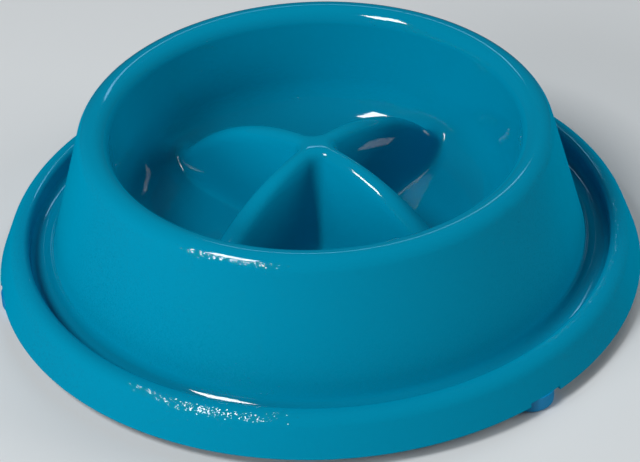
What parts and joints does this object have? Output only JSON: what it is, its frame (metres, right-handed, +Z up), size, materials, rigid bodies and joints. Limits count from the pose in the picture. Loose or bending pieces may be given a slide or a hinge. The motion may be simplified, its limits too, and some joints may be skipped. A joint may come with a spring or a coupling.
{
  "type": "slow feeder bowl",
  "caption": "Round slow feeder pet bowl: sloping outer wall, water moat round its foot, crossed ridges that meet in a peak inside, and push-in rubber feet under the ring.",
  "frame": {"origin": "on the floor under the middle of the bowl", "axes": "+Z up along the bowl's turning axis; -Y is the side towards the picture's camera, +X its right"},
  "size_m": [0.29, 0.29, 0.0774],
  "materials": {
    "bowl_plastic": "glossy inside and on the rim, fine spark-eroded grain on the outer cone and the ring",
    "foot_rubber": "smooth satin"
  },
  "bodies": {
    "root": {"bowl": "bowl_plastic", "foot_front": "foot_rubber", "foot_rear": "foot_rubber", "foot_side": "foot_rubber"}
  },
  "joints": []
}
